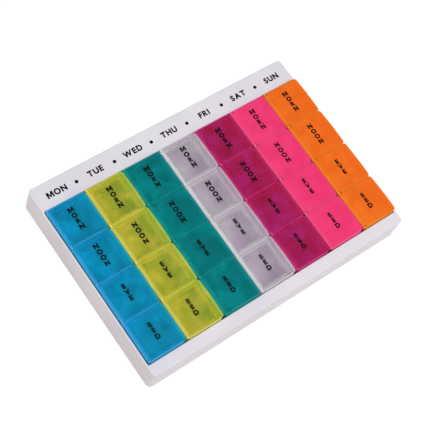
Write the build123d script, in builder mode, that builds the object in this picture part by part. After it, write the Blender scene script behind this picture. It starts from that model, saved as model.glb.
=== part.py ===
"""
Weekly pill organizer. A moulded tray carries seven lift-out day boxes side by side. Each box has
four compartments in a row, and each compartment has its own lid on a pin hinge. Millimetres.
X runs along the week from the Monday box, Y runs from the bedtime lids at the front to the band
of day names at the back, and Z is up. The origin is the centre of the tray's underside, on the
surface that it stands on.
"""
import os
from math import radians, sqrt, tan

from build123d import *

# The boxes from left to right, and the lids of a box from back to front
days = ["mon", "tue", "wed", "thu", "fri", "sat", "sun"]
doses = ["morn", "noon", "eve", "bed"]

# Compartment of a day box
compartment_width = 22.8  # along X
compartment_length = 26.26  # along Y
compartment_corner = 2.0  # radius of its upright inner corners
compartment_foot = 1.5  # radius where its walls meet its floor

# Day box
box_wall = 1.3  # the two long walls
box_floor = 1.2
box_height = 19.7  # from the underside to the top of the walls
foot_height = 0.3  # low rim round the underside that a box stands on
foot_width = 2.0  # of that rim
box_corner = 1.2  # radius of the upright outer corners
partition = 2.0  # wall between two compartments
end_step = 0.48  # how far an end wall stands out past the lids

# Pin hinge along the left wall of a day box
barrel_radius = 1.0  # rolled edge of the lid
hinge_offset = 1.25  # from the compartment's left face out to the hinge axis
pin_radius = 0.55
ear_thickness = 2.4  # an ear between two lids, which holds a pin of each
gusset_height = 2.5  # slope that carries an ear's overhang down to the wall
pin_clearance = 0.06  # between a pin and its hole, all round
pin_tip_gap = 0.2  # from a pin's tip to the middle of its ear
ear_gap = 0.25  # between a barrel's end and the ear
barrel_clearance = 0.3  # round a barrel, to the wall below and the plate beside an ear

# Lid
lid_thickness = 1.2
lid_clearance = 0.3  # from the walls' top to the underside of the lid
lid_spacing = 0.2  # between two lids of a box
lip_reach = 1.85  # thumb lip, from the right wall's outer face to the lid's edge
lip_bow = 0.35  # how far the lip's edge bows out at its middle
lip_corner = 1.7
notch_corner = 0.8  # the lid's outer corners beside an ear
skirt_depth = 3.0  # rim under the lid that enters the compartment
skirt_wall = 1.0
skirt_clearance = 0.4  # between the skirt and the compartment's walls
bead_radius = 0.45  # snap bead along the right side of the skirt
bead_height = 0.12  # how far the bead stands out of the skirt
bead_length = 8.0
bead_rise = 0.8  # from the skirt's lower edge up to the bead
lid_edge = 0.4  # rounding of the lid's upper edges

# Tray
box_spacing = 0.3  # least gap between the lids of two day boxes
well_clearance = 0.4  # between the day boxes and the well's walls
tray_floor = 1.8
rim_width = 1.3  # top of the side walls
wall_draft = 1.6  # degrees that the outside leans in on its way up
front_ledge = 8.0  # depth of the bare ledge in front of the boxes
back_band = 17.2  # depth of the band of day names
deck_thickness = 1.8
shell_wall = 1.5  # walls round the hollows under the ledge and the band
tray_corner = 3.0  # radius of the upright outer corners
well_corner = 0.8
rim_edge = 0.6  # rounding of the outer upper edge
well_edge = 0.3  # rounding of the well's upper edge
lip_clearance = 0.9  # from the rim to the underside of the lids that overhang it
rib_height = 2.0  # ribs on the tray's floor that keep the boxes apart

# Reach of a box and its lids to each side of the compartments' middle, and the two pitches
wall_outer = compartment_width / 2 + box_wall
hinge_x = -(compartment_width / 2 + hinge_offset)
left_reach = -hinge_x + barrel_radius
right_reach = wall_outer + lip_reach
day_pitch = left_reach + right_reach + box_spacing
dose_pitch = compartment_length + partition
box_length = len(doses) * dose_pitch + 2 * end_step
lid_length = dose_pitch - lid_spacing

# Levels
box_base = tray_floor
inner_floor = box_base + foot_height + box_floor
wall_top = box_base + box_height
lid_underside = wall_top + lid_clearance
lid_top = lid_underside + lid_thickness
hinge_z = lid_top - barrel_radius
left_wall_top = hinge_z - barrel_radius - barrel_clearance
deck_top = lid_underside - lip_clearance

# The tray's outline and the place of the row of boxes in it
box_reach_left = max(left_reach, wall_outer)
well_width = (len(days) - 1) * day_pitch + box_reach_left + wall_outer + 2 * well_clearance
well_length = box_length + 2 * well_clearance
top_width = well_width + 2 * rim_width
top_length = well_length + front_ledge + back_band
lean = deck_top * tan(radians(wall_draft))
base_width = top_width + 2 * lean
base_length = top_length + 2 * lean
well_y = -top_length / 2 + front_ledge + well_length / 2
first_x = -well_width / 2 + well_clearance + box_reach_left
day_xs = [first_x + index * day_pitch for index in range(len(days))]
lid_ys = [well_y + (len(doses) - 1 - 2 * index) * dose_pitch / 2 for index in range(len(doses))]
seam_ys = [well_y + (len(doses) - 2 * index) * dose_pitch / 2 for index in range(len(doses) + 1)]


def make_tray():
    """The tray: a well for the boxes, a ledge in front, the band of day names behind."""
    front_hollow = front_ledge - 2 * shell_wall
    back_hollow = back_band - 2 * shell_wall
    hollow_height = deck_top - deck_thickness
    with BuildPart() as tray:
        with BuildSketch():
            RectangleRounded(base_width, base_length, tray_corner + lean)
        extrude(amount=deck_top, taper=wall_draft)
        with BuildSketch(Plane.XY.offset(tray_floor)):
            with Locations((0, well_y)):
                RectangleRounded(well_width, well_length, well_corner)
        extrude(amount=deck_top, mode=Mode.SUBTRACT)
        with BuildSketch():
            with Locations((0, -top_length / 2 + shell_wall + front_hollow / 2)):
                RectangleRounded(top_width - 2 * shell_wall, front_hollow, well_corner)
            with Locations((0, top_length / 2 - shell_wall - back_hollow / 2)):
                RectangleRounded(top_width - 2 * shell_wall, back_hollow, well_corner)
        extrude(amount=hollow_height, mode=Mode.SUBTRACT)
        deck = tray.faces().sort_by(Axis.Z)[-1]
        fillet(deck.outer_wire().edges(), rim_edge)
        deck = tray.faces().sort_by(Axis.Z)[-1]
        fillet(deck.inner_wires().edges(), well_edge)
        with BuildSketch(Plane.XY.offset(tray_floor)):
            for index, x in enumerate(day_xs):
                right_face = x - wall_outer - well_clearance
                left_face = -well_width / 2
                if index:
                    left_face = day_xs[index - 1] + wall_outer + well_clearance
                with Locations(((left_face + right_face) / 2, well_y)):
                    Rectangle(right_face - left_face, well_length)
        extrude(amount=rib_height)
    return tray


def make_box():
    """A day box at x = 0: four compartments, and the ears that carry the lids' pins."""
    ear_right = hinge_x + barrel_radius
    ear_left = hinge_x - barrel_radius
    ear_base = left_wall_top - gusset_height
    ear_half = ear_thickness / 2
    relief_right = ear_right + barrel_clearance
    with BuildPart() as box:
        with BuildSketch(Plane.XY.offset(box_base)):
            with Locations((0, well_y)):
                RectangleRounded(2 * wall_outer, box_length, box_corner)
        extrude(amount=box_height)
        with BuildSketch(Plane.XY.offset(box_base)):
            with Locations((0, well_y)):
                Rectangle(2 * (wall_outer - foot_width), box_length - 2 * foot_width)
        extrude(amount=foot_height, mode=Mode.SUBTRACT)
        with BuildSketch(Plane.XY.offset(inner_floor)):
            for y in lid_ys:
                with Locations((0, y)):
                    RectangleRounded(compartment_width, compartment_length, compartment_corner)
        extrude(amount=box_height, mode=Mode.SUBTRACT)
        floors = box.faces().filter_by(Plane.XY).filter_by_position(Axis.Z, inner_floor, inner_floor)
        fillet(floors.edges(), compartment_foot)
        with BuildSketch(Plane.XY.offset(left_wall_top)):
            for y in lid_ys:
                with Locations(((relief_right - wall_outer) / 2, y)):
                    Rectangle(relief_right + wall_outer, dose_pitch - ear_thickness)
        extrude(amount=box_height, mode=Mode.SUBTRACT)
        for index, y in enumerate(seam_ys):
            front = y if index == len(seam_ys) - 1 else y - ear_half
            back = y if index == 0 else y + ear_half
            with BuildSketch(Plane.XZ.offset(-back)):
                with BuildLine():
                    Polyline(
                        (ear_right, hinge_z),
                        (ear_right, ear_base),
                        (-wall_outer, ear_base),
                        (ear_left, left_wall_top),
                        (ear_left, hinge_z),
                    )
                    ThreePointArc(
                        (ear_left, hinge_z),
                        (hinge_x, hinge_z + barrel_radius),
                        (ear_right, hinge_z),
                    )
                make_face()
            extrude(amount=back - front)
        with BuildSketch(Plane.XZ.offset(-well_y - box_length / 2)):
            with Locations((hinge_x, hinge_z)):
                Circle(pin_radius + pin_clearance)
        extrude(amount=box_length, mode=Mode.SUBTRACT)
    return box


def make_lid():
    """A lid at x = 0, y = 0: hinge barrel and pins on the left, thumb lip on the right."""
    half_length = lid_length / 2
    barrel_half = dose_pitch / 2 - ear_thickness / 2 - ear_gap
    pin_grip = ear_thickness / 2 - pin_tip_gap
    notch_x = hinge_x + barrel_radius + barrel_clearance
    barrel_root = notch_x + lid_thickness
    lip_end = right_reach - lip_bow
    roll_meets = hinge_x + sqrt(barrel_radius**2 - (lid_underside - hinge_z) ** 2)
    skirt_width = compartment_width - 2 * skirt_clearance
    skirt_length = compartment_length - 2 * skirt_clearance
    skirt_corner = max(compartment_corner - skirt_clearance, skirt_wall + skirt_clearance)
    bead_x = skirt_width / 2 + bead_height - bead_radius
    bead_z = lid_underside - skirt_depth + bead_rise
    with BuildPart() as lid:
        with BuildSketch(Plane.XY.offset(lid_underside)) as plate:
            with BuildLine():
                Line((notch_x, -half_length), (lip_end, -half_length))
                ThreePointArc((lip_end, -half_length), (right_reach, 0), (lip_end, half_length))
                Line((lip_end, half_length), (notch_x, half_length))
                Line((notch_x, half_length), (notch_x, -half_length))
            make_face()
            corners = plate.vertices().group_by(Axis.X)
            fillet(corners[-1], lip_corner)
            fillet(corners[0], notch_corner)
        extrude(amount=lid_thickness)
        with BuildSketch(Plane.XZ.offset(-barrel_half)):
            with BuildLine():
                Line((barrel_root, lid_top), (hinge_x, lid_top))
                ThreePointArc(
                    (hinge_x, lid_top),
                    (hinge_x - barrel_radius, hinge_z),
                    (hinge_x, hinge_z - barrel_radius),
                )
                RadiusArc(
                    (hinge_x, hinge_z - barrel_radius), (roll_meets, lid_underside), -barrel_radius
                )
                Line((roll_meets, lid_underside), (barrel_root, lid_underside))
                Line((barrel_root, lid_underside), (barrel_root, lid_top))
            make_face()
        extrude(amount=2 * barrel_half)
        with BuildSketch(Plane.XZ.offset(-barrel_half - ear_gap - pin_grip)):
            with Locations((hinge_x, hinge_z)):
                Circle(pin_radius)
        extrude(amount=2 * (barrel_half + ear_gap + pin_grip))
        with BuildSketch(Plane.XY.offset(lid_underside)):
            RectangleRounded(skirt_width, skirt_length, skirt_corner)
            RectangleRounded(
                skirt_width - 2 * skirt_wall,
                skirt_length - 2 * skirt_wall,
                skirt_corner - skirt_wall,
                mode=Mode.SUBTRACT,
            )
        extrude(amount=-skirt_depth)
        with BuildSketch(Plane.XZ.offset(-bead_length / 2)):
            with Locations((bead_x, bead_z)):
                Circle(bead_radius)
        extrude(amount=bead_length)
        top_face = lid.faces().sort_by(Axis.Z)[-1]
        fillet(top_face.edges().filter_by(lambda edge: edge.center().X > notch_x), lid_edge)
    return lid


os.makedirs("parts", exist_ok=True)

tray = make_tray()
tray.part.label = "tray"
export_step(tray.part, "parts/tray.step")

box = make_box()
lid = make_lid()
for day, x in zip(days, day_xs):
    day_box = box.part.moved(Location((x, 0, 0)))
    day_box.label = f"{day}_box"
    export_step(day_box, f"parts/{day}_box.step")
    for dose, y in zip(doses, lid_ys):
        day_lid = lid.part.moved(Location((x, y, 0)))
        day_lid.label = f"{day}_{dose}_lid"
        export_step(day_lid, f"parts/{day}_{dose}_lid.step")

print(f"box pitch {day_pitch:.2f}, lid pitch {dose_pitch:.2f}, lid top {lid_top:.2f}, rim {deck_top:.2f}")
print(f"tray {base_width:.2f} x {base_length:.2f} at its base, row middle y {well_y:.2f}")
print(f"first box x {first_x:.2f}, hinge axis {hinge_x:.2f} from a box's middle, at z {hinge_z:.2f}")
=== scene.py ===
"""
Weekly pill organizer: an off-white tray with seven lift-out day boxes of translucent plastic.
The boxes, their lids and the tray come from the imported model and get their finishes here. The
names of the days, the dots between them and the word on each lid are printed ink, made here.
Everything is in metres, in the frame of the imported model.
"""
from collections import namedtuple
from math import cos, radians, sin

import bmesh
import bpy
from mathutils import Matrix, Vector


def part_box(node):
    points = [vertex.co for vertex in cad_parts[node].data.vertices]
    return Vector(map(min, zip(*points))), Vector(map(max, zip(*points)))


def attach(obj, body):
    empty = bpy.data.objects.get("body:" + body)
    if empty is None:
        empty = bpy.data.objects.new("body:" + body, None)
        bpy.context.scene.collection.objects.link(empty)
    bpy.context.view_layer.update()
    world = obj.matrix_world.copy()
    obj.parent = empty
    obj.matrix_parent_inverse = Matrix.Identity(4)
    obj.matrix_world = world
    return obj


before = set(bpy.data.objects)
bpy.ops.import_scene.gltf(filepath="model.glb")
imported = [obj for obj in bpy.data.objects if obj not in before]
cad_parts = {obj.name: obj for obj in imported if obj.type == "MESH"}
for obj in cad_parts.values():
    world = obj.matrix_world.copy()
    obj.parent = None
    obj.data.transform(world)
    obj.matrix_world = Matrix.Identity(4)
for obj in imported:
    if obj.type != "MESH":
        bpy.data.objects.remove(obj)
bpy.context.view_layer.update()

MM = 0.001
DAYS = ["mon", "tue", "wed", "thu", "fri", "sat", "sun"]
DOSES = ["morn", "noon", "eve", "bed"]

# Printed words
INK_THICKNESS = 0.05 * MM
INK_SINK = 0.01 * MM  # how deep the ink's underside sits in the plastic
DAY_STROKE_GAIN = 0.07  # how far a letter's outline grows for a bold face, with cap height 1
LID_STROKE_GAIN = 0.09
FONT_CAP = 0.69  # size of the built-in font's capitals at size 1
FONT_HEIGHT = 0.988  # height of its capitals when their nominal height is 1
SEAM = 1e-5  # points of a letter closer than this, with cap height 1, are one point
DAY_CAP = 4.2 * MM
DAY_LETTER_GAP = 0.6 * MM
DAY_WORD_Y = 60.75 * MM
DOT_Y = 60.35 * MM
DOT_DIAMETER = 2.4 * MM
DOT_SIDES = 40
LID_CAP = 3.5 * MM
LID_LETTER_PITCH = 4.2 * MM
LID_REACH = 14.55 * MM  # from the middle of a compartment to its lid's right edge
LID_WORD_RIGHT = 0.3 * MM  # from the middle of a compartment to its word
LID_WORD_BACK = 1.05 * MM  # from the middle of a lid to its word

# Outlines of the three capitals whose strokes the font can't grow without crossing itself, with
# cap height 1: each loop is a list of points, and a loop inside another is a hole
STEM = 0.26
STROKE = 0.2
BOWL_INSET = 0.06  # how much sooner the straight part of a bowl ends on its inside
BOWL_STEPS = 12  # straight pieces in the half circle of a bowl
R_BOWL_CUT = 2  # points at the foot of R's bowl that its leg takes the place of
M_WIDTH = 1.1
M_SHOULDER = 0.34
M_VALLEY = 0.44
M_CROTCH = 0.54
B_WAIST = 0.52
B_TOP_STRAIGHT = 0.38  # where the straight part of the upper bowl ends
B_FOOT_STRAIGHT = 0.42
R_WAIST = 0.41
R_STRAIGHT = 0.38
R_LEG_LEFT = 0.5
R_LEG_RIGHT = 0.8

# The plastic of each day. Colours: dark and light are the milky body's where the melt flowed,
# the rim colour is the paler one of upright faces and wall ends, painted light for the light a
# wall carries to its ends, and dye is what one face of a wall lets through. Shares: the clouds
# are how much light the haze stops at a level face of a lid, at a level face of a box and at an
# upright face, and the barrel share is how much of that paler colour and upright haze a lid's
# hinge barrel shows: the haze for its thickness, the paler colour a painted highlight.
Finish = namedtuple(
    "Finish", "name dark light rim dye lid_cloud box_cloud edge_cloud barrel_glow")
FINISHES = {
    "mon": Finish("blue", "#00B2CE", "#08BAE8", "#5CCCFC", "#C0FAFF", 0.3, 0.1, 0.6, 0.4),
    "tue": Finish("yellow", "#B6D65E", "#EEDC5E", "#FFF890", "#FDFDC2", 0.25, 0.1, 0.6, 0.45),
    "wed": Finish("teal", "#00949C", "#00A2A6", "#20C0B8", "#A8F6F4", 0.4, 0.15, 0.6, 0.3),
    "thu": Finish("clear", "#D0BED4", "#D2D8D2", "#FFFFFF", "#FFFDFF", 0.2, 0.06, 0.5, 0.8),
    "fri": Finish("magenta", "#CE2A6E", "#C8308A", "#F458A8", "#FCB0D8", 0.4, 0.15, 0.6, 0.05),
    "sat": Finish("pink", "#FE407E", "#FF4686", "#FF6CA2", "#FCB0D0", 0.9, 0.8, 0.9, 0.1),
    "sun": Finish("orange", "#FE761E", "#FF7C24", "#FFA038", "#FCD090", 0.9, 0.8, 0.9, 0.25),
}
FLOW_MM = 10  # width of the melt's flow marks
PAINTED_SIDE_LIGHT = 0.15  # painted light and shade: how far the colour is lighter on the hinge side, darker on the other
MOTTLE = 0.55  # how far a level face's haze varies along the flow, most at a cloud of a half
LEVEL_ABOVE = 0.99  # a face is level where its normal rises or falls by more than this
UPRIGHT_BELOW = 0.75  # and upright where by less than this
BACK_LIT = 0.15  # share of the milky body's light that comes through from its other side
RIPPLE_MM = 6  # width of the soft waves of a polished face
SHEEN_IOR = 1.14  # below the real 1.49, because this studio mirrors white from every side

# Height at which a box's walls and a lid's skirt end inside a closed lid
WALL_END_LOW = 19.3 * MM
WALL_END_HIGH = 20.3 * MM

# A lid's hinge barrel is thicker than its plate, and its thumb lip is finely frosted for grip
BARREL_DIAMETER = 2.0 * MM
LIP_CLOUD = 0.65
BLUR = 0.5 * MM  # width of the change from one to the other

# Sockets that have no name of their own: the two shaders of a Mix Shader, and the two colours and
# the result of the Mix node
SHADER_A = 1
SHADER_B = 2
MIX_A = 6
MIX_B = 7
MIX_RESULT = 2

WHITE = (1, 1, 1, 1)

# Studio
FLOOR_HALF = 4.0
FLOOR_SHADED = (0.3, 0.3, 0.3, 1)  # the part of the floor's white that shade takes away
FLOOR_GLOW = 0.78  # the part that stays
BRIGHT_SIDE = (-0.9, -0.44, 0.0)  # towards the left and the front, where the studio is brightest
SKY_DIM = 0.35
SKY_BRIGHT = 0.88

# Camera, as the photograph was taken: from the front left and well above, turned in its own plane
CAMERA_AIM = Vector((2.96, -1.99, 0.0)) * MM
CAMERA_AZIMUTH = -60.72
CAMERA_ELEVATION = 62.62
CAMERA_DISTANCE = 736.9 * MM
CAMERA_ROLL = 27.58
CAMERA_SENSOR = 36.0
CAMERA_LENS = 92.28


def linear(hex_colour):
    """An sRGB hex colour as linear red, green, blue and full alpha."""
    parts = [int(hex_colour[i:i + 2], 16) / 255 for i in (1, 3, 5)]
    return [p / 12.92 if p <= 0.04045 else ((p + 0.055) / 1.055) ** 2.4 for p in parts] + [1.0]


def add(tree, kind, settings=None, values=None, links=None):
    """Adds a node to a tree with its settings, its input values and what feeds its inputs."""
    node = tree.nodes.new(kind)
    for name, value in (settings or {}).items():
        setattr(node, name, value)
    for name, value in (values or {}).items():
        node.inputs[name].default_value = value
    for name, source in (links or {}).items():
        tree.links.new(source, node.inputs[name])
    return node


def set_stops(ramp, *stops):
    """Gives the two stops of a colour ramp their positions and colours."""
    for element, (position, hex_colour) in zip(ramp.color_ramp.elements, stops):
        element.position = position
        element.color = linear(hex_colour)


def new_material(name):
    """An empty material and its node tree."""
    material = bpy.data.materials.new(name)
    material.use_nodes = True
    material.node_tree.nodes.clear()
    return material, material.node_tree


def per_metre(size_mm):
    """The scale of a noise texture whose features are size_mm wide."""
    return 1 / (size_mm * MM)


def show(obj):
    """Puts an object in the scene."""
    bpy.context.scene.collection.objects.link(obj)
    return obj


def moulded_polystyrene():
    """Off-white polystyrene, injection moulded against a finely spark-eroded steel face. It looks
    matt and chalky with a soft broad sheen, and its colour drifts a little along the melt's
    flow."""
    material, tree = new_material("white_polystyrene_moulded")
    place = add(tree, "ShaderNodeTexCoord")
    flow = add(tree, "ShaderNodeTexNoise", values={"Scale": per_metre(35), "Detail": 2.0},
               links={"Vector": place.outputs["Object"]})
    colour = add(tree, "ShaderNodeValToRGB", links={"Fac": flow.outputs["Fac"]})
    set_stops(colour, (0.35, "#D9D5DE"), (0.65, "#DFDBE2"))
    # The real grain is about 0.05 mm, too fine to show, so it is drawn at 0.5 mm
    grain = add(tree, "ShaderNodeTexNoise", values={"Scale": per_metre(0.5), "Detail": 3.0},
                links={"Vector": place.outputs["Object"]})
    rough = add(tree, "ShaderNodeMapRange", values={"To Min": 0.42, "To Max": 0.58},
                links={"Value": grain.outputs["Fac"]})
    bump = add(tree, "ShaderNodeBump", values={"Strength": 0.12, "Distance": 0.03 * MM},
               links={"Height": grain.outputs["Fac"]})
    plastic = add(tree, "ShaderNodeBsdfPrincipled",
                  values={"IOR": 1.59, "Specular IOR Level": 0.25},
                  links={"Base Color": colour.outputs["Color"],
                         "Roughness": rough.outputs["Result"],
                         "Normal": bump.outputs["Normal"]})
    add(tree, "ShaderNodeOutputMaterial", links={"Surface": plastic.outputs["BSDF"]})
    return material


def dyed_polypropylene(day, part):
    """Dyed clarified polypropylene, injection moulded against polished steel. It is glossy and
    lets light through in its own colour, with a milky haze that thickens and thins in faint flow
    marks. Its colour is painted lighter on the hinge side and darker on the other, painted light
    and shade. Light travels along a wall and leaves it at its ends, so the upright faces, the tops
    of a box's walls and the foot of a lid's skirt look milkier and are painted paler, painted
    light; a lid's thick hinge barrel is milkier too, and paler as a painted highlight. The lids
    have a hazier face than the boxes, and a frosted thumb lip."""
    finish = FINISHES[day]
    box_low, box_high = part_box(f"{day}_box")
    material, tree = new_material(f"{finish.name}_polypropylene_moulded_{day}_{part}")
    place = add(tree, "ShaderNodeTexCoord")
    spot = add(tree, "ShaderNodeSeparateXYZ", links={"Vector": place.outputs["Object"]})
    facing = add(tree, "ShaderNodeSeparateXYZ", links={"Vector": place.outputs["Normal"]})

    # The milky body's colour, from the flow of the melt, with painted light on the hinge side and
    # painted shade on the other
    flow = add(tree, "ShaderNodeTexNoise",
               values={"Scale": per_metre(FLOW_MM), "Detail": 1.0, "Distortion": 0.3},
               links={"Vector": place.outputs["Object"]})
    side = add(tree, "ShaderNodeMapRange",
               values={"From Min": box_low.x, "From Max": box_high.x,
                       "To Min": PAINTED_SIDE_LIGHT, "To Max": -PAINTED_SIDE_LIGHT},
               links={"Value": spot.outputs["X"]})
    spread = add(tree, "ShaderNodeMath", {"operation": "ADD"},
                 links={0: flow.outputs["Fac"], 1: side.outputs["Result"]})
    haze = add(tree, "ShaderNodeValToRGB", links={"Fac": spread.outputs["Value"]})
    set_stops(haze, (0.35, finish.dark), (0.7, finish.light))

    # Where light leaves a wall, shown as painted light: 1 on upright faces and where walls end
    # inside a closed lid
    level = add(tree, "ShaderNodeMath", {"operation": "ABSOLUTE"}, links={0: facing.outputs["Z"]})
    upright = add(tree, "ShaderNodeMapRange",
                  values={"From Min": UPRIGHT_BELOW, "From Max": LEVEL_ABOVE,
                          "To Min": 1.0, "To Max": 0.0},
                  links={"Value": level.outputs["Value"]})
    if part == "lid":
        level_cloud, start, end = finish.lid_cloud, WALL_END_HIGH, WALL_END_LOW
    else:
        level_cloud, start, end = finish.box_cloud, WALL_END_LOW, WALL_END_HIGH
    wall_end = add(tree, "ShaderNodeMapRange", values={"From Min": start, "From Max": end},
                   links={"Value": spot.outputs["Z"]})
    lit = add(tree, "ShaderNodeMath", {"operation": "MAXIMUM"},
              links={0: upright.outputs["Result"], 1: wall_end.outputs["Result"]})
    # The hinge barrel: milkier for its thickness, and paler as a painted highlight
    if part == "lid":
        barrel_end = box_low.x + BARREL_DIAMETER
        barrel = add(tree, "ShaderNodeMapRange",
                     values={"From Min": barrel_end, "From Max": barrel_end + BLUR,
                             "To Min": finish.barrel_glow, "To Max": 0.0},
                     links={"Value": spot.outputs["X"]})
        lit = add(tree, "ShaderNodeMath", {"operation": "MAXIMUM"},
                  links={0: lit.outputs["Value"], 1: barrel.outputs["Result"]})

    # How much light the haze stops
    drift = MOTTLE * level_cloud * (1 - level_cloud)
    mottled = add(tree, "ShaderNodeMapRange",
                  values={"From Min": 0.3, "From Max": 0.7,
                          "To Min": level_cloud - drift, "To Max": level_cloud + drift},
                  links={"Value": flow.outputs["Fac"]})
    clouded = add(tree, "ShaderNodeMapRange", values={"To Max": finish.edge_cloud},
                  links={"Value": lit.outputs["Value"], "To Min": mottled.outputs["Result"]})
    cloud = clouded.outputs["Result"]
    if part == "lid":
        lip = add(tree, "ShaderNodeMapRange",
                  values={"From Min": box_high.x - BLUR, "From Max": box_high.x,
                          "To Max": max(LIP_CLOUD, finish.lid_cloud)},
                  links={"Value": spot.outputs["X"]})
        cloud = add(tree, "ShaderNodeMath", {"operation": "MAXIMUM"},
                    links={0: cloud, 1: lip.outputs["Result"]}).outputs["Value"]

    # The wall: clear dye and milky body side by side
    # Where light leaves a wall the body takes the paler rim colour: painted light
    milk = add(tree, "ShaderNodeMix", {"data_type": "RGBA"}, values={MIX_B: linear(finish.rim)},
               links={"Factor": lit.outputs["Value"], MIX_A: haze.outputs["Color"]})
    body = add(tree, "ShaderNodeBsdfDiffuse", links={"Color": milk.outputs[MIX_RESULT]})
    glow = add(tree, "ShaderNodeBsdfTranslucent", links={"Color": milk.outputs[MIX_RESULT]})
    milky = add(tree, "ShaderNodeMixShader", values={"Fac": BACK_LIT},
                links={SHADER_A: body.outputs["BSDF"], SHADER_B: glow.outputs["BSDF"]})
    clear = add(tree, "ShaderNodeBsdfTransparent", values={"Color": linear(finish.dye)})
    wall = add(tree, "ShaderNodeMixShader",
               links={"Fac": cloud, SHADER_A: clear.outputs["BSDF"],
                      SHADER_B: milky.outputs["Shader"]})

    # The gloss of the polished face
    ripple = add(tree, "ShaderNodeTexNoise", values={"Scale": per_metre(RIPPLE_MM), "Detail": 1.0},
                 links={"Vector": place.outputs["Object"]})
    rough = add(tree, "ShaderNodeMapRange", values={"To Min": 0.1, "To Max": 0.2},
                links={"Value": ripple.outputs["Fac"]})
    bump = add(tree, "ShaderNodeBump", values={"Strength": 0.2, "Distance": 0.05 * MM},
               links={"Height": ripple.outputs["Fac"]})
    gloss = add(tree, "ShaderNodeBsdfGlossy", values={"Color": WHITE},
                links={"Roughness": rough.outputs["Result"], "Normal": bump.outputs["Normal"]})
    mirror = add(tree, "ShaderNodeFresnel", values={"IOR": SHEEN_IOR})
    finished = add(tree, "ShaderNodeMixShader",
                   links={"Fac": mirror.outputs["Fac"], SHADER_A: wall.outputs["Shader"],
                          SHADER_B: gloss.outputs["BSDF"]})
    add(tree, "ShaderNodeOutputMaterial", links={"Surface": finished.outputs["Shader"]})
    return material


def pad_printed_ink():
    """Black pad-printed ink. It dries to a thin satin film with a slightly uneven sheen."""
    material, tree = new_material("black_ink_pad_printed")
    place = add(tree, "ShaderNodeTexCoord")
    film = add(tree, "ShaderNodeTexNoise", values={"Scale": per_metre(0.8), "Detail": 2.0},
               links={"Vector": place.outputs["Object"]})
    colour = add(tree, "ShaderNodeValToRGB", links={"Fac": film.outputs["Fac"]})
    set_stops(colour, (0.0, "#040407"), (1.0, "#0A0A0F"))
    rough = add(tree, "ShaderNodeMapRange", values={"To Min": 0.55, "To Max": 0.75},
                links={"Value": film.outputs["Fac"]})
    dried = add(tree, "ShaderNodeBsdfPrincipled", values={"IOR": 1.5, "Specular IOR Level": 0.05},
                links={"Base Color": colour.outputs["Color"],
                       "Roughness": rough.outputs["Result"]})
    add(tree, "ShaderNodeOutputMaterial", links={"Surface": dried.outputs["BSDF"]})
    return material


def evaluated_mesh(holder):
    """The plain mesh of an object with its modifiers, curve or text worked out. The object goes."""
    depsgraph = bpy.context.evaluated_depsgraph_get()
    made = bpy.data.meshes.new_from_object(holder.evaluated_get(depsgraph))
    bpy.data.objects.remove(holder)
    return made


def to_mesh(curve, name):
    """The plain mesh of a curve or text, with its seams closed and its faces outwards."""
    made = evaluated_mesh(show(bpy.data.objects.new(name, curve)))
    shape = bmesh.new()
    shape.from_mesh(made)
    bmesh.ops.remove_doubles(shape, verts=shape.verts, dist=SEAM)
    bmesh.ops.recalc_face_normals(shape, faces=shape.faces)
    shape.to_mesh(made)
    shape.free()
    return made


def half_round(x, low, high):
    """Points from the top to the bottom of a half circle that bulges to the right of x."""
    middle, radius = (low + high) / 2, (high - low) / 2
    angles = [radians(90 - 180 * step / BOWL_STEPS) for step in range(BOWL_STEPS + 1)]
    return [(x + radius * cos(angle), middle + radius * sin(angle)) for angle in angles]


def loops_of_m():
    middle = M_WIDTH / 2
    return [[
        (0, 0), (0, 1), (M_SHOULDER, 1), (middle, M_VALLEY), (M_WIDTH - M_SHOULDER, 1),
        (M_WIDTH, 1), (M_WIDTH, 0), (M_WIDTH - STEM, 0), (M_WIDTH - STEM, M_CROTCH), (middle, 0),
        (STEM, M_CROTCH), (STEM, 0),
    ]]


def loops_of_b():
    half_stroke = STROKE / 2
    outside = [(0, 0), (0, 1)] + half_round(B_TOP_STRAIGHT, B_WAIST, 1)
    outside += half_round(B_FOOT_STRAIGHT, 0, B_WAIST)
    upper = [(STEM, B_WAIST + half_stroke), (STEM, 1 - STROKE)]
    upper += half_round(B_TOP_STRAIGHT - BOWL_INSET, B_WAIST + half_stroke, 1 - STROKE)
    lower = [(STEM, STROKE), (STEM, B_WAIST - half_stroke)]
    lower += half_round(B_FOOT_STRAIGHT - BOWL_INSET, STROKE, B_WAIST - half_stroke)
    return [outside, upper, lower]


def loops_of_r():
    outside = [(0, 0), (0, 1)] + half_round(R_STRAIGHT, R_WAIST, 1)[:-R_BOWL_CUT]
    outside += [(R_LEG_RIGHT, 0), (R_LEG_LEFT, 0), (STEM, R_WAIST), (STEM, 0)]
    counter = [(STEM, R_WAIST + STROKE), (STEM, 1 - STROKE)]
    counter += half_round(R_STRAIGHT - BOWL_INSET, R_WAIST + STROKE, 1 - STROKE)
    return [outside, counter]


OWN_LETTERS = {"M": loops_of_m, "B": loops_of_b, "R": loops_of_r}


def letter(character, cap, gain):
    """A solid bold capital with its left edge at x = 0 and its foot on y = 0, and its width."""
    if character in OWN_LETTERS:
        curve = bpy.data.curves.new(character, "CURVE")
        curve.dimensions = "2D"
        curve.fill_mode = "BOTH"
        for loop in OWN_LETTERS[character]():
            spline = curve.splines.new("POLY")
            spline.points.add(len(loop) - 1)
            for point, (x, y) in zip(spline.points, loop):
                point.co = (x, y, 0, 1)
            spline.use_cyclic_u = True
        foot, height = 0, 1
    else:
        curve = bpy.data.curves.new(character, "FONT")
        curve.body = character
        curve.size = 1 / FONT_CAP
        curve.offset = gain
        foot, height = -gain, FONT_HEIGHT + 2 * gain
    scale = cap / height
    curve.extrude = INK_THICKNESS / scale / 2
    made = to_mesh(curve, character)
    left = min(v.co.x for v in made.vertices)
    made.transform(Matrix.Translation((-left, -foot, 0)))
    made.transform(Matrix.Scale(scale, 4))
    return made, max(v.co.x for v in made.vertices)


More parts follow.
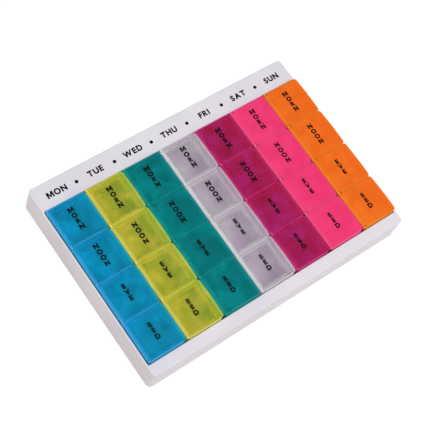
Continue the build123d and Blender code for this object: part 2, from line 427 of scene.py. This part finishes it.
def join_letters(name, placed):
    """One object from letters at their places, given as pairs of mesh and place."""
    shape = bmesh.new()
    for mesh, place in placed:
        start = len(shape.verts)
        shape.from_mesh(mesh)
        shape.verts.ensure_lookup_table()
        bmesh.ops.translate(shape, verts=shape.verts[start:], vec=place)
    made = bpy.data.meshes.new(name)
    shape.to_mesh(made)
    shape.free()
    made.materials.append(ink)
    return show(bpy.data.objects.new(name, made))


def ink_middle(surface_z):
    """The height of the middle of the ink's thickness on a surface."""
    return surface_z + INK_THICKNESS / 2 - INK_SINK


def word_along(name, word, cap, gap, middle):
    """A word along X, centred on a point of the surface that it is printed on."""
    letters = [letter(character, cap, DAY_STROKE_GAIN) for character in word]
    width = sum(w for _, w in letters) + gap * (len(word) - 1)
    x = middle.x - width / 2
    placed = []
    for mesh, w in letters:
        placed.append((mesh, Vector((x, middle.y - cap / 2, ink_middle(middle.z)))))
        x += w + gap
    return join_letters(name, placed)


def word_stacked(name, word, cap, pitch, middle):
    """A word whose upright letters stand below one another along -Y, centred on a point."""
    y = middle.y + pitch * (len(word) - 1) / 2 - cap / 2
    placed = []
    for character in word:
        mesh, w = letter(character, cap, LID_STROKE_GAIN)
        placed.append((mesh, Vector((middle.x - w / 2, y, ink_middle(middle.z)))))
        y -= pitch
    return join_letters(name, placed)


def row_of_dots(name, count, pitch, diameter, thickness, first):
    """A row of round ink dots along X, by a node tree with named sizes."""
    tree = bpy.data.node_groups.new("row_of_dots", "GeometryNodeTree")
    tree.interface.new_socket("Geometry", in_out="INPUT", socket_type="NodeSocketGeometry")
    for socket, kind in [("Count", "NodeSocketInt"), ("Pitch", "NodeSocketFloat"),
                         ("Diameter", "NodeSocketFloat"), ("Thickness", "NodeSocketFloat"),
                         ("First", "NodeSocketVector")]:
        tree.interface.new_socket(socket, in_out="INPUT", socket_type=kind)
    tree.interface.new_socket("Geometry", in_out="OUTPUT", socket_type="NodeSocketGeometry")
    given = add(tree, "NodeGroupInput")
    step = add(tree, "ShaderNodeCombineXYZ", links={"X": given.outputs["Pitch"]})
    line = add(tree, "GeometryNodeMeshLine",
               links={"Count": given.outputs["Count"], "Start Location": given.outputs["First"],
                      "Offset": step.outputs["Vector"]})
    half = add(tree, "ShaderNodeMath", {"operation": "MULTIPLY"}, values={1: 0.5},
               links={0: given.outputs["Diameter"]})
    dot = add(tree, "GeometryNodeMeshCylinder", values={"Vertices": DOT_SIDES},
              links={"Radius": half.outputs["Value"], "Depth": given.outputs["Thickness"]})
    dots = add(tree, "GeometryNodeInstanceOnPoints",
               links={"Points": line.outputs["Mesh"], "Instance": dot.outputs["Mesh"]})
    solid = add(tree, "GeometryNodeRealizeInstances",
                links={"Geometry": dots.outputs["Instances"]})
    inked = add(tree, "GeometryNodeSetMaterial", values={"Material": ink},
                links={"Geometry": solid.outputs["Geometry"]})
    add(tree, "NodeGroupOutput", links={"Geometry": inked.outputs["Geometry"]})
    holder = show(bpy.data.objects.new("dots_holder", bpy.data.meshes.new("dots_holder")))
    made_by = holder.modifiers.new("dots", "NODES")
    made_by.node_group = tree
    sizes = {"Count": count, "Pitch": pitch, "Diameter": diameter, "Thickness": thickness,
             "First": first}
    for item in tree.interface.items_tree:
        if item.in_out == "INPUT" and item.name in sizes:
            made_by[item.identifier] = sizes[item.name]
    return show(bpy.data.objects.new(name, evaluated_mesh(holder)))


def dress(node, material):
    """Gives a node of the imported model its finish."""
    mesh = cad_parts[node].data
    mesh.materials.clear()
    mesh.materials.append(material)


ink = pad_printed_ink()
dress("tray", moulded_polystyrene())
for day in DAYS:
    dress(f"{day}_box", dyed_polypropylene(day, "box"))
    lid_plastic = dyed_polypropylene(day, "lid")
    for dose in DOSES:
        dress(f"{day}_{dose}_lid", lid_plastic)

# Words on the lids, a little right of each lid's compartment and behind the lid's middle
word_xs = {}
for day in DAYS:
    for dose in DOSES:
        low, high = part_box(f"{day}_{dose}_lid")
        word_xs[day] = high.x - LID_REACH + LID_WORD_RIGHT
        middle = Vector((word_xs[day], (low.y + high.y) / 2 + LID_WORD_BACK, high.z))
        piece = word_stacked(f"{day}_{dose}_word", dose.upper(), LID_CAP, LID_LETTER_PITCH, middle)
        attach(piece, f"{day}_{dose}_lid")

# Names of the days and the dots between them, on the band behind the boxes
band_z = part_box("tray")[1].z
for day in DAYS:
    piece = word_along(f"{day}_name", day.upper(), DAY_CAP, DAY_LETTER_GAP,
                       Vector((word_xs[day], DAY_WORD_Y, band_z)))
    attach(piece, "tray")
day_pitch = word_xs["tue"] - word_xs["mon"]
dots = row_of_dots("day_dots", len(DAYS) - 1, day_pitch, DOT_DIAMETER, INK_THICKNESS,
                   Vector((word_xs["mon"] + day_pitch / 2, DOT_Y, ink_middle(band_z))))
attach(dots, "tray")


def shows_background(tree):
    """One for the rays that show the background, seen or mirrored, and nothing for those that
    light the object."""
    rays = add(tree, "ShaderNodeLightPath")
    mirrored = add(tree, "ShaderNodeMath", {"operation": "MAXIMUM"},
                   links={0: rays.outputs["Is Glossy Ray"], 1: rays.outputs["Is Transmission Ray"]})
    shown = add(tree, "ShaderNodeMath", {"operation": "MAXIMUM"},
                links={0: rays.outputs["Is Camera Ray"], 1: mirrored.outputs["Value"]})
    return shown.outputs["Value"]


def studio_floor():
    """Seamless white paper. The camera sees it as near white with a trace of the object's
    shadow."""
    material, tree = new_material("white_paper_seamless")
    paper = add(tree, "ShaderNodeBsdfDiffuse", values={"Color": linear("#E8E0D4")})
    faint = add(tree, "ShaderNodeBsdfDiffuse", values={"Color": FLOOR_SHADED})
    glow = add(tree, "ShaderNodeEmission", values={"Color": WHITE, "Strength": FLOOR_GLOW})
    seen = add(tree, "ShaderNodeAddShader",
               links={0: faint.outputs["BSDF"], 1: glow.outputs["Emission"]})
    pick = add(tree, "ShaderNodeMixShader",
               links={"Fac": shows_background(tree), SHADER_A: paper.outputs["BSDF"],
                      SHADER_B: seen.outputs["Shader"]})
    add(tree, "ShaderNodeOutputMaterial", links={"Surface": pick.outputs["Shader"]})
    return material


floor_mesh = bpy.data.meshes.new("floor")
floor_mesh.from_pydata([(-FLOOR_HALF, -FLOOR_HALF, 0), (FLOOR_HALF, -FLOOR_HALF, 0),
                        (FLOOR_HALF, FLOOR_HALF, 0), (-FLOOR_HALF, FLOOR_HALF, 0)],
                       [], [(0, 1, 2, 3)])
floor_mesh.materials.append(studio_floor())
floor = show(bpy.data.objects.new("floor", floor_mesh))


def toward(azimuth, elevation):
    """The direction from the object to a lamp or camera, with angles in degrees. At azimuth 0 it
    is in front of the object, and at 90 on its right."""
    a, e = radians(azimuth), radians(elevation)
    return Vector((sin(a) * cos(e), -cos(a) * cos(e), sin(e)))


def softbox(name, azimuth, elevation, distance, size, power):
    """A square area lamp that faces the object."""
    data = bpy.data.lights.new(name, "AREA")
    data.size = size
    data.energy = power
    lamp = bpy.data.objects.new(name, data)
    away = toward(azimuth, elevation)
    lamp.location = away * distance
    lamp.rotation_mode = "QUATERNION"
    lamp.rotation_quaternion = (-away).to_track_quat("-Z", "Y")
    show(lamp)


softbox("key", azimuth=20, elevation=70, distance=1.6, size=1.1, power=12.5)

world = bpy.data.worlds.new("studio")
bpy.context.scene.world = world
world.use_nodes = True
studio = world.node_tree
studio.nodes.clear()
ray = add(studio, "ShaderNodeTexCoord")
toward_light = add(studio, "ShaderNodeVectorMath", {"operation": "DOT_PRODUCT"},
                   values={1: BRIGHT_SIDE}, links={0: ray.outputs["Generated"]})
fade = add(studio, "ShaderNodeMapRange",
           values={"From Min": -1.0, "From Max": 1.0, "To Min": SKY_DIM, "To Max": SKY_BRIGHT},
           links={"Value": toward_light.outputs["Value"]})
sky = add(studio, "ShaderNodeBackground", values={"Color": WHITE},
          links={"Strength": fade.outputs["Result"]})
white = add(studio, "ShaderNodeBackground", values={"Color": WHITE, "Strength": 1.0})
pick = add(studio, "ShaderNodeMixShader",
           links={"Fac": shows_background(studio), SHADER_A: sky.outputs["Background"],
                  SHADER_B: white.outputs["Background"]})
add(studio, "ShaderNodeOutputWorld", links={"Surface": pick.outputs["Shader"]})

camera_data = bpy.data.cameras.new("camera")
camera_data.sensor_width = CAMERA_SENSOR
camera_data.lens = CAMERA_LENS
camera_data.clip_start = 0.05
camera_data.clip_end = 20.0
camera = show(bpy.data.objects.new("camera", camera_data))
back = toward(CAMERA_AZIMUTH, CAMERA_ELEVATION)
turned = (-back).to_track_quat("-Z", "Y").to_matrix().to_4x4()
rolled = turned @ Matrix.Rotation(radians(CAMERA_ROLL), 4, "Z")
camera.matrix_world = Matrix.Translation(CAMERA_AIM + back * CAMERA_DISTANCE) @ rolled
bpy.context.scene.camera = camera
bpy.context.scene.view_settings.view_transform = "Standard"
# Light crosses many thin walls here, so it is followed through more of them than by default
bpy.context.scene.cycles.transparent_max_bounces = 32
bpy.context.scene.cycles.diffuse_bounces = 8
